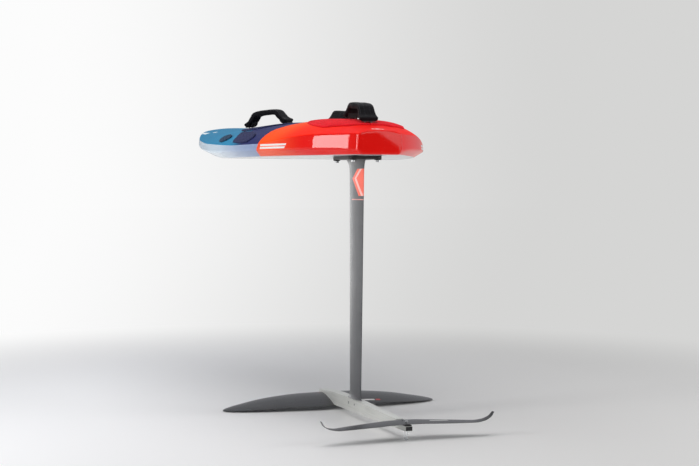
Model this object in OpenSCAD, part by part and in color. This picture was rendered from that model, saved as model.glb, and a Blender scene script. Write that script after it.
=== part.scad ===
// Hydrofoil board: a short sandwich board with three footstraps, standing on its hydrofoil.
// Design axes: X forward to the nose, Y to port, Z up. Heights count from the floor, and
// lengths along the board count from the mast's axis; place() moves them to the part's
// frame, whose origin is on the floor under the middle of the whole length.

/* [Board] */
// Nose tip, ahead of the mast's axis
nose_x = 1600; // [1560:10:1640]
// Transom face, measured from the mast's axis
transom_x = -220; // [-240:5:-200]
// Half of the board's greatest width
half_w = 362; // [340:2:380]
// Half width of the transom
transom_half_w = 75; // [65:1:90]
// Height of the flat bottom above the floor
bottom_h = 905; // [900:1:915]
// Thickness of the laminated skins
skin_t = 1.8; // [1.4:0.1:2.4]

/* [Foil] */
// Chord of the mast under the board
mast_chord_top = 136; // [120:1:150]
// Chord of the mast at the fuselage
mast_chord_foot = 105; // [95:1:120]
// Length of the top plate
plate_l = 190; // [185:1:200]
// Width of the top plate
plate_w = 120; // [116:1:130]
// Thickness of the top plate
plate_t = 11; // [9:0.5:13]
// Bolt spacing along the board
bolt_dx = 165; // [165:1:165]
// Bolt spacing across the board
bolt_dy = 90; // [90:1:90]
// Front wing: half of the span
front_half_span = 405; // [390:5:420]
// Tail wing: half of the span
tail_half_span = 292; // [280:2:300]
// Width of the fuselage
fuse_w = 33; // [30:1:36]

/* [Straps] */
// Length of a strap from foot to foot
strap_l = 180; // [176:2:186]
// Width of a strap's padded cover
strap_cover_w = 66; // [60:1:72]
// Width of a strap's webbing
webbing_w = 44; // [40:1:50]

/* [Hidden] */

$fn = 48;
gap = 0.3;                       // clearance between pieces that don't touch
tail_wing_x = -480;              // trailing edge of the tail wing's tips
mid_x = (nose_x + tail_wing_x) / 2;
module place() translate([-mid_x, 0, 0]) children();

// ---- Curves -------------------------------------------------------------------------
// Smooth curve through a table of [position, value], flat where the table is flat.
function seg(t, T, i = 0) = (i >= len(T) - 2 || t < T[i + 1][0]) ? i : seg(t, T, i + 1);
function rise(T, i) = (T[i + 1][1] - T[i][1]) / (T[i + 1][0] - T[i][0]);
function slope(T, i) =
    i == 0 ? rise(T, 0) : i == len(T) - 1 ? rise(T, i - 1) :
    let (a = rise(T, i - 1), b = rise(T, i)) a * b <= 0 ? 0 : 2 * a * b / (a + b);
function curve(t, T) =
    let (i = seg(t, T), h = T[i + 1][0] - T[i][0],
        u = max(0, min(1, (t - T[i][0]) / h)))
    T[i][1] * (1 + 2 * u) * (1 - u) * (1 - u) + T[i + 1][1] * u * u * (3 - 2 * u)
    + slope(T, i) * h * u * (1 - u) * (1 - u) - slope(T, i + 1) * h * u * u * (1 - u);
function flip(P) = [for (i = [len(P) - 1:-1:0]) P[i]];

// Catmull-Rom path through 2D points, n steps a stretch.
function cr(a, b, c, d, t) = 0.5 * (2 * b + (c - a) * t + (2 * a - 5 * b + 4 * c - d) * t * t
    + (3 * b - a - 3 * c + d) * t * t * t);
function smooth_path(P, n) = concat([for (i = [0:len(P) - 2]) for (k = [0:n - 1])
    cr(P[max(i - 1, 0)], P[i], P[i + 1], P[min(i + 2, len(P) - 1)], k / n)], [P[len(P) - 1]]);
function side_of(Q, i) =
    let (d = Q[min(i + 1, len(Q) - 1)] - Q[max(i - 1, 0)]) [-d[1], d[0]] / norm(d);

// Closed skin over equal rings of points.
module loft(R) {
    n = len(R[0]);
    last = len(R) - 1;
    polyhedron(
        points = [for (r = R) for (q = r) q],
        faces = concat(
            [[for (i = [n - 1:-1:0]) i]],
            [for (k = [0:last - 1]) for (i = [0:n - 1])
                [k * n + i, k * n + (i + 1) % n, (k + 1) * n + (i + 1) % n, (k + 1) * n + i]],
            [[for (i = [0:n - 1]) last * n + i]]),
        convexity = 6);
}

// ---- Board shape ----------------------------------------------------------------------
wide_x = 400;                    // the tail's flare ends here
nose_from = 500;                 // the nose's curve starts here
bevel_wt = [[-220, 10], [-110, 32], [20, 40], [500, 40], [800, 62], [1100, 84], [1630, 90]];
wall_in = 3;                     // the wall leans in by this much at the deck's edge
bottom_t = [[-220, 0], [400, 0], [700, 7], [930, 17], [1300, 45], [1630, 85]];
bevel_t = [[-220, 14], [-110, 21], [20, 22], [600, 25], [850, 42], [1100, 66], [1300, 84], [1630, 118]];
edge_t = [[-220, 70], [-60, 69], [20, 61], [100, 50], [150, 45], [300, 45], [420, 49],
    [600, 58], [770, 67], [920, 80], [1100, 95], [1300, 125], [1450, 145], [1630, 161]];
crown_t = [[-220, 80], [-100, 107], [0, 121], [150, 129], [300, 129], [600, 129],
    [1000, 139], [1300, 153], [1630, 168]];
dome_t = [[-220, 2.6], [0, 3.2], [300, 3.0], [1630, 2.6]];

function plan(s) =
    s < wide_x ? transom_half_w + (half_w - transom_half_w)
        * pow(sin(90 * (s - transom_x) / (wide_x - transom_x)), 0.9) :
    s < nose_from ? half_w :
    half_w * sqrt(max(0, 1 - pow((s - nose_from) / (nose_x - nose_from), 1.75)));
function bottom_z(s) = bottom_h + curve(s, bottom_t);
function bevel_z(s) = bottom_h + curve(s, bevel_t);
function edge_z(s) = bottom_h + curve(s, edge_t);
function crown_z(s) = bottom_h + curve(s, crown_t);
function flat_w(s) = plan(s) - min(curve(s, bevel_wt), 0.45 * plan(s));
function edge_w(s) = plan(s) - min(wall_in, 0.1 * plan(s));
function deck_z(s, y) = edge_z(s) + (crown_z(s) - edge_z(s))
    * (1 - pow(min(1, abs(y) / edge_w(s)), curve(s, dome_t)));

across = [0, 0.09, 0.18, 0.27, 0.36, 0.45, 0.54, 0.63, 0.72, 0.8, 0.87, 0.93, 0.975];
// Half of a section, from the deck's centre to the bottom's centre, o inside the skin.
function half_deck(s, o, side) = [for (f = across) let (y = f * (edge_w(s) - o))
    [s, side * y, deck_z(s, y) - o]];
function half_hull(s, o, side) = [
    [s, side * (edge_w(s) - o), deck_z(s, edge_w(s) - o) - o],
    [s, side * (plan(s) - o), bevel_z(s) + 0.3 * o],
    [s, side * (flat_w(s) - 0.4 * o), bottom_z(s) + o]];
function section(s, o) = concat(half_deck(s, o, 1), half_hull(s, o, 1),
    flip(half_hull(s, o, -1)), [for (i = [len(across) - 1:-1:1]) half_deck(s, o, -1)[i]]);

block_t = 12;                    // length of the solid block behind the transom
nose_seam = nose_x - 30;         // the nose block starts here
stations = [-170, -130, -90, -50, -10, 30, 70, 110, 150, 190, 230, 270, 310, 355, 400,
    450, 500, 560, 630, 700, 780, 860, 940, 1020, 1100, 1180, 1250, 1315, 1370, 1415,
    1455, 1490, 1515, 1535, 1550];
shell_s = concat([transom_x + block_t], stations, [nose_seam]);
core_gap = 3.4;                  // from the skins to the foam core
core_s = concat([transom_x + block_t + gap], stations, [nose_seam - gap]);

// A sheet of thickness skin_t under the deck's surface.
function deck_ring(s) = let (
    top = concat(flip(half_deck(s, 0, 1)), [for (i = [1:len(across) - 1]) half_deck(s, 0, -1)[i]]),
    rim = [s, edge_w(s), edge_z(s)],
    up = concat([rim], top, [[s, -rim[1], rim[2]]]))
    concat(up, flip([for (q = up) [q[0], q[1], q[2] - skin_t]]));
// A trough of walls, bevels and bottom, up to the deck sheet's lower face.
function trough_side(s, o, side) = [
    [s, side * (edge_w(s) - o), edge_z(s) - skin_t],
    [s, side * (plan(s) - o), bevel_z(s) + 0.3 * o],
    [s, side * (flat_w(s) - 0.4 * o), bottom_z(s) + o]];
function trough_ring(s) = concat(
    trough_side(s, 0, 1), flip(trough_side(s, 0, -1)),
    trough_side(s, skin_t, -1), flip(trough_side(s, skin_t, 1)));

// ---- Foil tracks and the parts in them ----------------------------------------------
track_w = 22;
track_h = 27;
track_l = 276;
track_mouth = 9.6;               // width of the slot the bolts pass through
nut_w = 14;
nut_l = 20;
nut_h = 6;
nut_z = bottom_h + 9;            // lower face of the T-nuts
foil_top = bottom_h - gap;       // upper face of the mast plate
plate_z = foil_top - plate_t;
box_l = 320;
box_w = 136;
box_h = 62;

// Plate with rounded corners, centred.
module rounded_slab(l, w, h, r) {
    cube([l - 2 * r, w, h], center = true);
    cube([l, w - 2 * r, h], center = true);
    for (x = [-1, 1]) for (y = [-1, 1])
        translate([x * (l / 2 - r), y * (w / 2 - r), 0]) cylinder(h = h, r = r, center = true);
}
module at_bolts() for (x = [-1, 1]) for (y = [-1, 1])
    translate([x * bolt_dx / 2, y * bolt_dy / 2, 0]) children();
module at_tracks() for (y = [-1, 1]) translate([0, y * bolt_dy / 2, 0]) children();

// ---- Straps --------------------------------------------------------------------------
pad_t = 5;                       // thickness of the deck pads
pad_lift = 1;
rear_strap_x = -30;
front_strap_x = 560;
front_strap_y = 150;
strap_turn = 45;                 // a front strap's angle to the centreline
screw_u = 80;                    // from a strap's middle to its screws
screw_v = 11;
function deck_roll(x, y) = -atan((deck_z(x, y + 10) - deck_z(x, y - 10)) / 20);
function deck_pitch(x, y) = atan((deck_z(x + 10, y) - deck_z(x - 10, y)) / 20);
// Local frame of a strap: u along its span, v across the band, w up from the deck.
module on_deck(x, y, turn, lift = 0)
    translate([x, y, deck_z(x, y) + lift])
        rotate([-deck_roll(x, y), -deck_pitch(x, y), 0]) rotate([0, 0, turn]) children();
module at_strap(k) {
    if (k == 0) on_deck(rear_strap_x, 0, 0, pad_t + pad_lift) children();
    if (k == 1) on_deck(front_strap_x, front_strap_y, strap_turn, pad_t + pad_lift) children();
    if (k == 2) on_deck(front_strap_x, -front_strap_y, -strap_turn, pad_t + pad_lift) children();
}
module at_screws() for (k = [0:2]) at_strap(k)
    for (u = [-1, 1]) for (v = [-1, 1]) translate([u * screw_u, v * screw_v, 0]) children();

webbing_half = [[-98, 1.8], [-80, 1.9], [-68, 8], [-60, 25], [-50, 39], [-29, 44.5], [0, 45]];
cover_half = [[-98, 12.5], [-85, 15], [-73, 20], [-61, 31], [-50, 43], [-29, 47.5], [0, 48]];
function mirror_path(P) = concat(P, [for (i = [len(P) - 2:-1:0]) [-P[i][0], P[i][1]]]);
function stretch(P) = [for (q = P) [q[0] * strap_l / 196, q[1]]];
webbing_path = smooth_path(mirror_path(stretch(webbing_half)), 3);
cover_path = smooth_path(mirror_path(stretch(cover_half)), 3);
function taper(Q, i) = min(1, 0.3 + 0.7 * (1 - abs(Q[i][0]) / strap_l * 2) / 0.35);
function ribbon(Q, low, high) = concat(
    [for (i = [0:len(Q) - 1]) Q[i] + side_of(Q, i) * high * taper(Q, i)],
    flip([for (i = [0:len(Q) - 1]) Q[i] - side_of(Q, i) * low * taper(Q, i)]));
function even_ribbon(Q, t) = concat(
    [for (i = [0:len(Q) - 1]) Q[i] + side_of(Q, i) * t / 2],
    flip([for (i = [0:len(Q) - 1]) Q[i] - side_of(Q, i) * t / 2]));
module band(outline, width) rotate([90, 0, 0]) linear_extrude(height = width, center = true)
    polygon(outline);
module webbing(k) place() at_strap(k) difference() {
    band(even_ribbon(webbing_path, 2.4), webbing_w);
    for (u = [-1, 1]) for (v = [-1, 1]) translate([u * screw_u, v * screw_v, -5])
        cylinder(h = 15, d = 6.4);
}
module cover(k) place() at_strap(k) difference() {
    band(ribbon(cover_path, 9, 11), strap_cover_w);
    band(even_ribbon(webbing_path, 3), webbing_w + 1);
}

// ---- Pads ------------------------------------------------------------------------------
// A pad that follows the deck between two edges, y_a(s) and y_b(s), given as tables.
module deck_pad(S, a_t, b_t, rows, t = pad_t) {
    loft([for (s = flip(S)) let (
        a = curve(s, a_t), b = curve(s, b_t),
        Y = [for (j = [0:rows]) a + (b - a) * j / rows],
        c = min(1.5, 0.35 * (b - a) / rows))
        concat([for (y = Y) [s, y, deck_z(s, y) + pad_lift]],
            flip([for (j = [0:rows]) let (y = Y[j] + (j == 0 ? c : j == rows ? -c : 0))
                [s, y, deck_z(s, y) + pad_lift + t]]))]);
}
rear_pad_s = [-128, -114, -98, -80, -60, -38, -14, 12, 38, 62, 80, 92];
rear_pad_in = [[-128, 1], [92, 1]];   // half of the seam down the middle
rear_pad_t = [[-128, 78], [-100, 112], [-65, 149], [5, 163], [60, 160], [92, 140]];
function neg(T) = [for (q = T) [q[0], -q[1]]];
front_pad_s = [400, 415, 440, 470, 500, 540, 580, 620, 660, 695, 720, 735];
front_pad_in = [[400, 30], [735, 30]];
front_pad_out = [[400, 150], [440, 215], [560, 238], [680, 226], [735, 170]];
heel_pad_s = [234, 265, 300, 340, 372, 410, 450, 486];
heel_pad_in = [[234, 304], [265, 287], [322, 278], [400, 272], [486, 264]];
heel_pad_out = [[234, 328], [265, 338], [312, 344], [362, 345], [400, 325], [486, 284]];
nose_pad_s = [496, 520, 545, 572, 600, 620, 637];
nose_pad_in = [[496, 319], [520, 306], [562, 294], [605, 288], [637, 290]];
nose_pad_out = [[496, 337], [520, 345], [572, 341], [602, 332], [637, 308]];

// ---- Foil sections ---------------------------------------------------------------------
chord_x = [1, 0.93, 0.82, 0.68, 0.53, 0.38, 0.25, 0.14, 0.06, 0.015];
function thick(x) = 5 * (0.2969 * sqrt(x) - 0.126 * x - 0.3516 * x * x
    + 0.2843 * pow(x, 3) - 0.1036 * pow(x, 4));
function camber(x, m) = 4 * m * x * (1 - x);
// Section outline in fractions of the chord: x back from the leading edge, z up.
function foil_outline(t, m, edge) = concat(
    [for (x = chord_x) [x, camber(x, m) + t * thick(x) + edge * x]],
    [[0, 0]],
    [for (i = [len(chord_x) - 1:-1:0]) let (x = chord_x[i])
        [x, camber(x, m) - t * thick(x) - edge * x]]);

// Front wing: leading and trailing edge along the span (y as a fraction of the half span).
function front_le(f) = 283 + (360 - 283) * sqrt(max(0, 1 - f * f));
function front_te(f) = 283 + (188 - 283) * sqrt(max(0, 1 - f * f));
front_le_z = [[0, 36], [0.25, 35], [0.45, 31], [0.62, 25], [0.8, 15], [0.93, 8], [1, 4]];
front_te_z = [[0, 15], [0.35, 14.5], [0.62, 11], [0.85, 6.5], [1, 3]];
front_f = [-1, -0.99, -0.965, -0.92, -0.85, -0.75, -0.62, -0.48, -0.34, -0.2, -0.08, 0,
    0.08, 0.2, 0.34, 0.48, 0.62, 0.75, 0.85, 0.92, 0.965, 0.99, 1];
module front_blade() loft([for (f = flip(front_f)) let (
    g = min(0.9985, abs(f)),
    le = front_le(g), te = front_te(g), c = le - te,
    zl = curve(g, front_le_z), zt = curve(g, front_te_z),
    O = foil_outline(0.125, 0.02, 0.6 / max(c, 10)))
    [for (q = O) [le - q[0] * c, f * front_half_span,
        max(0.05, zl + (zt - zl) * q[0] + q[1] * c)]]]);

// Tail wing: nearly level, drooping a little, with its tips swept up.
tail_z = [[0, 54.5], [0.12, 54], [0.3, 51.5], [0.55, 48.5], [0.76, 47], [0.86, 51.5],
    [0.94, 62], [1, 78]];
tail_out = [[0, 0], [0.8, 0.8], [0.9, 0.89], [0.95, 0.93], [1, 0.96]];
function tail_le(f) = -398 - 66 * pow(f, 2.2);
function tail_te(f) = -470 - 10 * pow(f, 1.5);
tail_f = [-1, -0.97, -0.94, -0.9, -0.86, -0.8, -0.7, -0.55, -0.4, -0.25, -0.12, 0,
    0.12, 0.25, 0.4, 0.55, 0.7, 0.8, 0.86, 0.9, 0.94, 0.97, 1];
function tail_y(f) = sign(f) * curve(abs(f), tail_out) * tail_half_span / 0.96;
function tail_tilt(f) = let (g = abs(f)) g < 0.7 ? 0 :
    atan((curve(min(1, g + 0.02), tail_z) - curve(g - 0.02, tail_z))
        / ((curve(min(1, g + 0.02), tail_out) - curve(g - 0.02, tail_out)) * tail_half_span))
    * sign(f);
module tail_blade() loft([for (f = flip(tail_f)) let (
    g = abs(f), le = tail_le(g), te = tail_te(g), c = le - te, a = tail_tilt(f),
    O = foil_outline(0.10, 0, 0.5 / c))
    [for (q = O) [le - q[0] * c, tail_y(f) - q[1] * c * sin(a),
        curve(g, tail_z) + q[1] * c * cos(a) - 2 * q[0] * (1 - g)]]]);

// ---- Fuselage --------------------------------------------------------------------------
fuse_nose = 380;
fuse_end = -472;
fuse_top = [[-472, 57], [-300, 60], [0, 64], [120, 64.5], [180, 63.5], [240, 60.8], [300, 56.5],
    [340, 53.8]];
fuse_low = [[-472, 31], [-300, 27], [-60, 22], [150, 18], [244, 17]];
seat_l = 78;                     // flat seat for the tail wing and its shim
seat_z = 46.5;
mast_socket_x = 12;              // middle of the mast's foot
socket_l = 82;
socket_w = 15;
socket_h = 34;
cross_bolt_x = [-15.7, 42.3];
cross_bolt_z = 48;
wing_screw_x = [222, 268, 322];
wing_screw_top = [60.5, 57.5, 53];
tail_screw_x = [-452, -418];
module fuse_side() rotate([90, 0, 0]) linear_extrude(height = fuse_w, center = true)
    polygon(concat(
        [for (q = fuse_top) q],
        [for (a = [75:-25:-50]) [fuse_nose - 22 + 22 * cos(a), 42.5 + 10.5 * sin(a)]],
        [[345, 35.5], [250, 33], [244, 17]],
        flip([for (i = [0:3]) fuse_low[i]])));
module fuse_plan() translate([0, 0, -10]) linear_extrude(height = 90)
    polygon(concat(
        [[fuse_end, -11], [-300, -14.5], [-80, -fuse_w / 2], [fuse_nose - 30, -fuse_w / 2]],
        [for (a = [-70:20:70]) [fuse_nose - 16.6 + 16.6 * cos(a), fuse_w / 2 * sin(a)]],
        [[fuse_nose - 30, fuse_w / 2], [-80, fuse_w / 2], [-300, 14.5], [fuse_end, 11]]));
module fuse_form() intersection() {
    fuse_side();
    fuse_plan();
}

// ---- Mast ------------------------------------------------------------------------------
mast_le = 68;                    // leading edge, upright
fuse_seat_z = 64.2;              // the mast's foot stands on the fuselage here
mast_rings = [[fuse_seat_z, 9], [67, 5.5], [72, 2.5], [80, 0.7], [95, 0], [320, 0], [600, 0],
    [840, 0], [862, 1.2], [876, 4], [886, 9], [plate_z, 15]];
function mast_chord(z) = mast_chord_foot + (mast_chord_top - mast_chord_foot)
    * pow((z - fuse_seat_z) / (plate_z - fuse_seat_z), 0.9);
module mast_blade() loft([for (r = mast_rings) let (
    z = r[0], o = r[1], c = mast_chord(z) + 2 * o, le = mast_le + o,
    O = foil_outline(0.125 + 1.2 * o / c, 0, 0.9 / c))
    [for (q = O) [le - q[0] * c, q[1] * c, z]]]);
head_screw_x = [-30, 8, 42];

// ======================================================================================
// Board
// ======================================================================================
module insert_holes(extra) at_screws() translate([0, 0, -40]) cylinder(h = 39.5, d = 16 + extra);
rig_x = 905;
rig_l = 230;
rig_w = 30;
rig_h = 34;
module at_rig() translate([rig_x, 0, deck_z(rig_x, 0) + 0.6])
    rotate([0, -deck_pitch(rig_x, 0), 0]) children();
vent_x = 1180;
module at_vent() on_deck(vent_x, 0, 0) children();

module deck_shell() color("orangered") place() difference() {
    loft(flip([for (s = shell_s) deck_ring(s)]));
    at_rig() translate([0, 0, -20]) cube([rig_l, rig_w, 60], center = true);
    at_vent() translate([0, 0, -20]) cylinder(h = 40, d = 26);
    insert_holes(0);
}
module bottom_shell() color("whitesmoke") place() difference() {
    loft([for (s = shell_s) trough_ring(s)]);
    at_tracks() translate([-track_l / 2, -track_w / 2, bottom_h - 5]) cube([track_l, track_w, 10]);
}
module transom_block() color("red") place()
    loft([for (s = [transom_x, transom_x + block_t]) section(s, 0)]);
module nose_block() color("deepskyblue") place()
    loft([for (d = [30, 20, 12, 6, 2, 0.5, 0.1]) section(nose_x - d, 0)]);
module foam_core() color("ivory") place() difference() {
    loft([for (s = core_s) section(s, skin_t + core_gap)]);
    loft([for (s = concat([transom_x + block_t + 5], stations, [nose_seam - 5]))
        section(s, skin_t + core_gap + 3)]);
    translate([0, 0, bottom_h]) cube([box_l + 0.6, box_w + 0.6, 20], center = true);
    at_rig() translate([0, 0, -20]) cube([rig_l + 0.6, rig_w + 0.6, 60], center = true);
    at_vent() translate([0, 0, -20]) cylinder(h = 40, d = 26.6);
    insert_holes(0.6);
}
module foil_box() color("wheat") place() difference() {
    translate([-box_l / 2, -box_w / 2, bottom_h + skin_t]) cube([box_l, box_w, box_h]);
    at_tracks() translate([-track_l / 2, -track_w / 2, bottom_h - 5])
        cube([track_l, track_w, track_h + 5]);
}
module foil_tracks() color("dimgray") place() at_tracks() difference() {
    translate([-track_l / 2, -track_w / 2, bottom_h]) cube([track_l, track_w, track_h]);
    translate([0, 0, bottom_h - 1]) slot_cut(track_l - 20, track_mouth, track_h - 4);
    translate([0, 0, nut_z - gap]) slot_cut(track_l - 20, nut_w + 0.8, nut_h + 2 * gap);
    translate([0, 0, bottom_h - 1]) cylinder(h = 12, d = nut_w + 0.2);
}
module slot_cut(l, w, h) {
    translate([-(l - w) / 2, -w / 2, 0]) cube([l - w, w, h]);
    for (x = [-1, 1]) translate([x * (l - w) / 2, 0, 0]) cylinder(h = h, d = w);
}
module rig_track() color("black") place() at_rig() difference() {
    translate([-rig_l / 2, -rig_w / 2, -rig_h]) cube([rig_l, rig_w, rig_h]);
    translate([-100, -5, -24]) cube([200, 10, 30]);
    translate([-100, -8.5, -17]) cube([200, 17, 7]);
    translate([-8, -8.5, -17]) cube([16, 17, 20]);
}
module vent_plug() color("black") place() at_vent() difference() {
    union() {
        translate([0, 0, -26]) cylinder(h = 26.2, d = 26);
        translate([0, 0, 0.2]) cylinder(h = 1.6, d1 = 25, d2 = 21, $fn = 48);
    }
    translate([0, 0, 0.9]) cube([14, 2.2, 3], center = true);
}

// ======================================================================================
// Pads and straps
// ======================================================================================
module rear_pad() color("crimson") place() difference() {
    union() {
        deck_pad(rear_pad_s, rear_pad_in, rear_pad_t, 7);
        deck_pad(rear_pad_s, neg(rear_pad_t), neg(rear_pad_in), 7);
    }
    at_strap(0) for (u = [-1, 1]) for (v = [-1, 1])
        translate([u * screw_u, v * screw_v, -12]) cylinder(h = 20, d = 6.6);
}
module front_pads() color("midnightblue") place() difference() {
    union() {
        deck_pad(front_pad_s, front_pad_in, front_pad_out, 7);
        deck_pad(front_pad_s, neg(front_pad_out), neg(front_pad_in), 7);
    }
    for (k = [1, 2]) at_strap(k) for (u = [-1, 1]) for (v = [-1, 1])
        translate([u * screw_u, v * screw_v, -12]) cylinder(h = 20, d = 6.6);
}
module heel_pads() color("darkslateblue") place() {
    deck_pad(heel_pad_s, heel_pad_in, heel_pad_out, 3);
    deck_pad(heel_pad_s, neg(heel_pad_out), neg(heel_pad_in), 3);
}
module nose_pads() color("darkslategray") place() {
    deck_pad(nose_pad_s, nose_pad_in, nose_pad_out, 3);
    deck_pad(nose_pad_s, neg(nose_pad_out), neg(nose_pad_in), 3);
}
insert_top = -pad_t - pad_lift - 5.5;   // below the pads, where the dome falls away
module strap_inserts() color("gray") place() at_screws() difference() {
    translate([0, 0, insert_top - 24]) cylinder(h = 24, d = 16);
    translate([0, 0, insert_top - 20]) cylinder(h = 21, d = 6);
}
module strap_washers() color("black") place() for (k = [0:2]) at_strap(k)
    for (u = [-1, 1]) translate([u * screw_u, 0, 3.3]) difference() {
        translate([-7, -20, 0]) cube([14, 40, 2.6]);
        for (v = [-1, 1]) translate([0, v * screw_v, -1]) cylinder(h = 5, d = 6.4);
    }
module strap_screws() color("silver") place() at_screws() {
    translate([0, 0, 6]) cylinder(h = 2, d = 12);
    translate([0, 0, insert_top - 16]) cylinder(h = 16 - insert_top + 6.1, d = 6);
}
module rear_strap_webbing() color("black") webbing(0);
module port_strap_webbing() color("black") webbing(1);
module starboard_strap_webbing() color("black") webbing(2);
module rear_strap_cover() color("#1b1c20") cover(0);
module port_strap_cover() color("#1b1c20") cover(1);
module starboard_strap_cover() color("#1b1c20") cover(2);

// ======================================================================================
// Hydrofoil
// ======================================================================================
module track_nuts() color("gold") place() at_bolts() difference() {
    translate([-nut_l / 2, -nut_w / 2, nut_z]) cube([nut_l, nut_w, nut_h]);
    translate([0, 0, nut_z - 1]) cylinder(h = nut_h + 2, d = 8);
}
washer_z = plate_z - 3;
module plate_washers() color("black") place() at_bolts() translate([0, 0, washer_z])
    difference() {
        cylinder(h = 3, d = 24);
        translate([0, 0, -1]) cylinder(h = 5, d = 8.4);
    }
module plate_bolts() color("silver") place() at_bolts() difference() {
    union() {
        translate([0, 0, washer_z - 7]) cylinder(h = 7, d = 14);
        translate([0, 0, washer_z - 1]) cylinder(h = nut_z + nut_h - washer_z + 2, d = 8);
    }
    translate([0, 0, washer_z - 8]) cylinder(h = 5, d = 6.9, $fn = 6);
}
module mast_plate() color("black") place() difference() {
    translate([0, 0, plate_z + plate_t / 2]) rounded_slab(plate_l, plate_w, plate_t, 20);
    at_bolts() translate([0, 0, plate_z - 1]) cylinder(h = plate_t + 2, d = 8.8);
    for (x = head_screw_x) translate([x, 0, 0]) {
        translate([0, 0, plate_z - 1]) cylinder(h = plate_t + 2, d = 8);
        translate([0, 0, foil_top - 4.5]) cylinder(h = 5, d1 = 8, d2 = 17);
    }
}
module mast_head_screws() color("silver") place() for (x = head_screw_x) translate([x, 0, 0])
    difference() {
        union() {
            translate([0, 0, plate_z - 30]) cylinder(h = 30 + plate_t - 1, d = 8);
            translate([0, 0, foil_top - 4.5]) cylinder(h = 4.3, d1 = 8, d2 = 15.74);
        }
        translate([0, 0, foil_top - 3]) cylinder(h = 4, d = 4.6, $fn = 6);
    }
module mast() color("slategray") place() difference() {
    union() {
        mast_blade();
        translate([mast_socket_x - socket_l / 2 + 0.1, -socket_w / 2 + 0.1,
            fuse_seat_z - socket_h + 0.3])
            cube([socket_l - 0.2, socket_w - 0.2, socket_h + 1]);
    }
    for (x = head_screw_x) translate([x, 0, plate_z - 32]) cylinder(h = 34, d = 8);
    for (x = cross_bolt_x) translate([x, 0, cross_bolt_z]) rotate([90, 0, 0])
        cylinder(h = 40, d = 6.4, center = true);
}
module mast_foot_bolts() color("silver") place() for (x = cross_bolt_x)
    translate([x, fuse_w / 2 - 0.6, cross_bolt_z]) rotate([90, 0, 0]) difference() {
        union() {
            cylinder(h = 4, d = 9.6);
            cylinder(h = fuse_w - 6, d = 6);
        }
        translate([0, 0, -1]) cylinder(h = 3.5, d = 4, $fn = 6);
    }
module mast_foot_nuts() color("silver") place() for (x = cross_bolt_x)
    translate([x, -fuse_w / 2 + 5.6, cross_bolt_z]) rotate([90, 0, 0]) difference() {
        cylinder(h = 5, d = 9.6);
        translate([0, 0, -1]) cylinder(h = 7, d = 6);
    }
module fuselage() color("silver") place() difference() {
    fuse_form();
    translate([mast_socket_x - socket_l / 2, -socket_w / 2, fuse_seat_z - socket_h])
        cube([socket_l, socket_w, socket_h + 10]);
    translate([mast_socket_x - 75, -25, fuse_seat_z - 0.1]) cube([150, 50, 10]);
    for (x = cross_bolt_x) translate([x, 0, cross_bolt_z]) rotate([90, 0, 0]) {
        cylinder(h = 60, d = 6.2, center = true);
        translate([0, 0, -fuse_w / 2 - 5]) cylinder(h = 9.6, d = 9.8);
        translate([0, 0, fuse_w / 2 - 5.8]) cylinder(h = 10, d = 9.8);
    }
    for (i = [0:2]) translate([wing_screw_x[i], 0, 0]) {
        translate([0, 0, 10]) cylinder(h = 60, d = 8.2);
        translate([0, 0, wing_screw_top[i] - 6]) cylinder(h = 20, d = 13.4);
    }
    translate([fuse_end - 10, -25, seat_z]) cube([seat_l + 10, 50, 30]);
    for (x = tail_screw_x) translate([x, 0, 34]) cylinder(h = 40, d = 6);
}
module front_wing() color("#4b4d52") place() difference() {
    front_blade();
    translate([0, 0, -0.1]) scale([1, (fuse_w + 0.4) / fuse_w, 1]) fuse_form();
    for (x = wing_screw_x) translate([x, 0, -5]) cylinder(h = 60, d = 8);
}
module front_wing_screws() color("silver") place() for (i = [0:2]) let (
        x = wing_screw_x[i],
        top = wing_screw_top[i],
        low = [16, 22, 30][i]) translate([x, 0, 0])
    difference() {
        union() {
            translate([0, 0, top - 6]) cylinder(h = 6, d = 13);
            translate([0, 0, low]) cylinder(h = top - 5 - low, d = 8);
        }
        translate([0, 0, top - 3]) cylinder(h = 6, d = 6, $fn = 6);
    }
shim_t = 3;
module tail_shim() color("black") place() difference() {
    translate([fuse_end + 4, -11, seat_z]) cube([seat_l - 8, 22, shim_t]);
    for (x = tail_screw_x) translate([x, 0, seat_z - 1]) cylinder(h = 10, d = 6.4);
}
module tail_wing() color("#4b4d52") place() difference() {
    union() {
        tail_blade();
        translate([-458, -9, seat_z + shim_t]) cube([50, 18, 3.7]);
    }
    for (x = tail_screw_x) translate([x, 0, 20]) cylinder(h = 60, d = 6.4);
}
module tail_wing_screws() color("silver") place() for (x = tail_screw_x) translate([x, 0, 0])
    difference() {
        union() {
            translate([0, 0, 58.4]) cylinder(h = 2.4, d = 10);
            translate([0, 0, 36]) cylinder(h = 23, d = 6);
        }
        translate([0, 0, 59.6]) cylinder(h = 3, d = 4, $fn = 6);
    }
module fuselage_end_cap() color("black") place()
    translate([fuse_end - 3, -10.5, 33]) cube([3, 21, 12.5]);

deck_shell();
bottom_shell();
transom_block();
nose_block();
foam_core();
foil_box();
foil_tracks();
rig_track();
vent_plug();
rear_pad();
front_pads();
heel_pads();
nose_pads();
strap_inserts();
strap_washers();
strap_screws();
rear_strap_webbing();
port_strap_webbing();
starboard_strap_webbing();
rear_strap_cover();
port_strap_cover();
starboard_strap_cover();
track_nuts();
plate_bolts();
plate_washers();
mast_plate();
mast_head_screws();
mast();
mast_foot_bolts();
mast_foot_nuts();
fuselage();
front_wing();
front_wing_screws();
tail_wing();
tail_shim();
tail_wing_screws();
fuselage_end_cap();
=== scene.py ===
"""Looks of the hydrofoil board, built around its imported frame.

Shape tables are the design's own, in millimetres: s runs forward from the mast's axis,
y to port, z up from the floor. put() turns them into the frame's metres.
"""
import math

import bmesh
import bpy
import numpy as np
from mathutils import Matrix, Vector


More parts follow.
